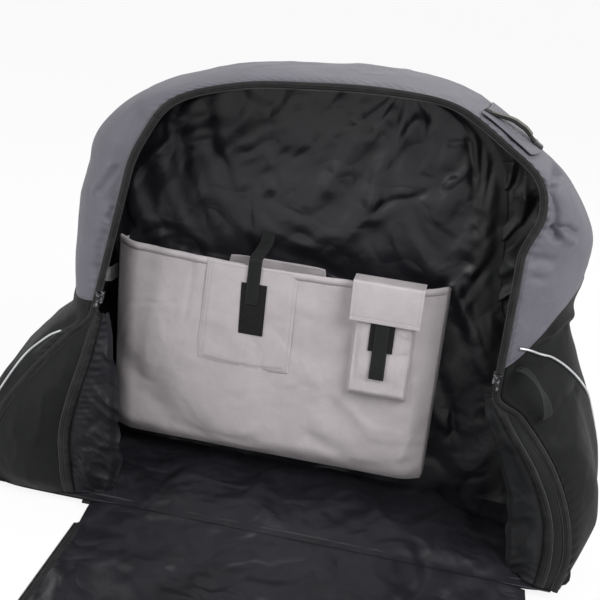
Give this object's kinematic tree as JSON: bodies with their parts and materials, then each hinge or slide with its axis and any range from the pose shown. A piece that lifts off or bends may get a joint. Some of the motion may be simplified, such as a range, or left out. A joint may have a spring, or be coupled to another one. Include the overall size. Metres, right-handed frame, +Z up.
{
  "type": "soft bike travel bag",
  "caption": "Soft bike travel bag standing open, its padded front wall unzipped and laid forward, with a wheel pocket, a tool pocket, handles, a base board and rollers.",
  "frame": {"origin": "on the floor, under the middle of the base, on the underside of the centre skid", "axes": "+X along the bag towards the end with the webbing loop, +Y from the opened front to the back wall, +Z up"},
  "size_m": [1.3731, 1.2223, 0.9613],
  "materials": {
    "grey_fabric": "woven, matt",
    "black_fabric": "coated weave, matt",
    "black_lining": "smooth satin lining",
    "pocket_fabric": "light, slightly shiny weave",
    "webbing": "ribbed webbing",
    "hook_tape": "hook and loop, very matt",
    "reflective": "reflective silver",
    "zip_tape": "coil zip tape",
    "slider_metal": "dark, satin",
    "board_plastic": "matt",
    "skid_plastic": "satin",
    "roller_rubber": "matt",
    "axle_steel": "brushed",
    "tag_white": "matt"
  },
  "bodies": {
    "shell": {"back_lining": "black_lining", "back_wall_lower": "black_fabric", "back_wall_upper": "grey_fabric", "base_board": "board_plastic", "base_lining": "black_lining", "blank_tag": "tag_white", "bottom_panel": "black_fabric", "centre_hook_patch": "hook_tape", "centre_pocket": "pocket_fabric", "corner_lining_left": "black_lining", "corner_lining_right": "black_lining", "front_corner_left": "black_fabric", "front_corner_right": "black_fabric", "front_seam_cord": "black_fabric", "grab_handle": "webbing", "grab_handle_patch": "black_fabric", "gusset_left_lower": "black_fabric", "gusset_left_upper": "grey_fabric", "gusset_right_lower": "black_fabric", "gusset_right_upper": "grey_fabric", "gusset_top": "grey_fabric", "hub_guard": "pocket_fabric", "lining_left": "black_lining", "lining_right": "black_lining", "lining_top": "black_lining", "piping_left": "reflective", "piping_right": "reflective", "pocket_top_binding": "pocket_fabric", "roller_axle_back": "axle_steel", "roller_axle_front": "axle_steel", "roller_carrier": "skid_plastic", "side_handle_tab_lower": "webbing", "side_handle_tab_upper": "webbing", "skid_back": "skid_plastic", "skid_centre": "skid_plastic", "skid_front": "skid_plastic", "tool_hook_patch": "hook_tape", "tool_pocket_body": "pocket_fabric", "wheel_pocket_front": "pocket_fabric", "wheel_pocket_gusset": "pocket_fabric", "wheel_strap_root": "webbing", "zip_track_left": "zip_tape", "zip_track_right": "zip_tape", "zip_track_top": "zip_tape"},
    "front_flap": {"front_flap_lower": "black_fabric", "front_flap_upper": "grey_fabric", "front_flap_lining": "black_lining", "zip_track_flap": "zip_tape"},
    "slider_left": {"zip_slider_left": "slider_metal"},
    "slider_right": {"zip_slider_right": "slider_metal"},
    "pull_left": {"zip_pull_left": "slider_metal"},
    "pull_right": {"zip_pull_right": "slider_metal"},
    "side_handle": {"side_handle": "webbing"},
    "wheel_strap": {"wheel_strap_end": "webbing"},
    "tool_flap": {"tool_pocket_flap": "pocket_fabric", "tool_flap_tab": "webbing"},
    "roller_front": {"roller_front": "roller_rubber"},
    "roller_back": {"roller_back": "roller_rubber"}
  },
  "joints": [
    {"name": "front_flap_close", "type": "hinge", "parent": "shell", "child": "front_flap", "pos_m": [0, -0.1603, 0.0165], "axis": [-1, 0, 0], "range_deg": [0, 94]},
    {"name": "slider_left_travel", "type": "slide", "parent": "shell", "child": "slider_left", "axis": [0.2036, 0, 0.979], "range_m": [0, 0.24]},
    {"name": "slider_right_travel", "type": "slide", "parent": "shell", "child": "slider_right", "axis": [0, 0, 1], "range_m": [0, 0.215]},
    {"name": "pull_left_swing", "type": "hinge", "parent": "slider_left", "child": "pull_left", "pos_m": [-0.39083, -0.0908, 0.46432], "axis": [-0.979, 0, 0.2036], "range_deg": [0, 150]},
    {"name": "pull_right_swing", "type": "hinge", "parent": "slider_right", "child": "pull_right", "pos_m": [0.41756, -0.0908, 0.43639], "axis": [-1, 0, 0], "range_deg": [0, 150]},
    {"name": "side_handle_swing", "type": "hinge", "parent": "shell", "child": "side_handle", "pos_m": [0.48262, -0.09872, 0.41326], "axis": [0.5616, -0.2309, -0.7945], "range_deg": [-20, 45]},
    {"name": "wheel_strap_peel", "type": "hinge", "parent": "shell", "child": "wheel_strap", "pos_m": [-0.09847, 0.0281, 0.5476], "axis": [-1, 0, 0], "range_deg": [0, 150]},
    {"name": "tool_flap_lift", "type": "hinge", "parent": "shell", "child": "tool_flap", "pos_m": [0.18035, 0.0347, 0.54785], "axis": [-1, 0, 0], "range_deg": [0, 160]},
    {"name": "roller_front_spin", "type": "hinge", "parent": "shell", "child": "roller_front", "pos_m": [-0.68076, -0.1, 0.034], "axis": [0, 1, 0], "continuous": true},
    {"name": "roller_back_spin", "type": "hinge", "parent": "shell", "child": "roller_back", "pos_m": [-0.68076, 0.1, 0.034], "axis": [0, 1, 0], "continuous": true}
  ]
}
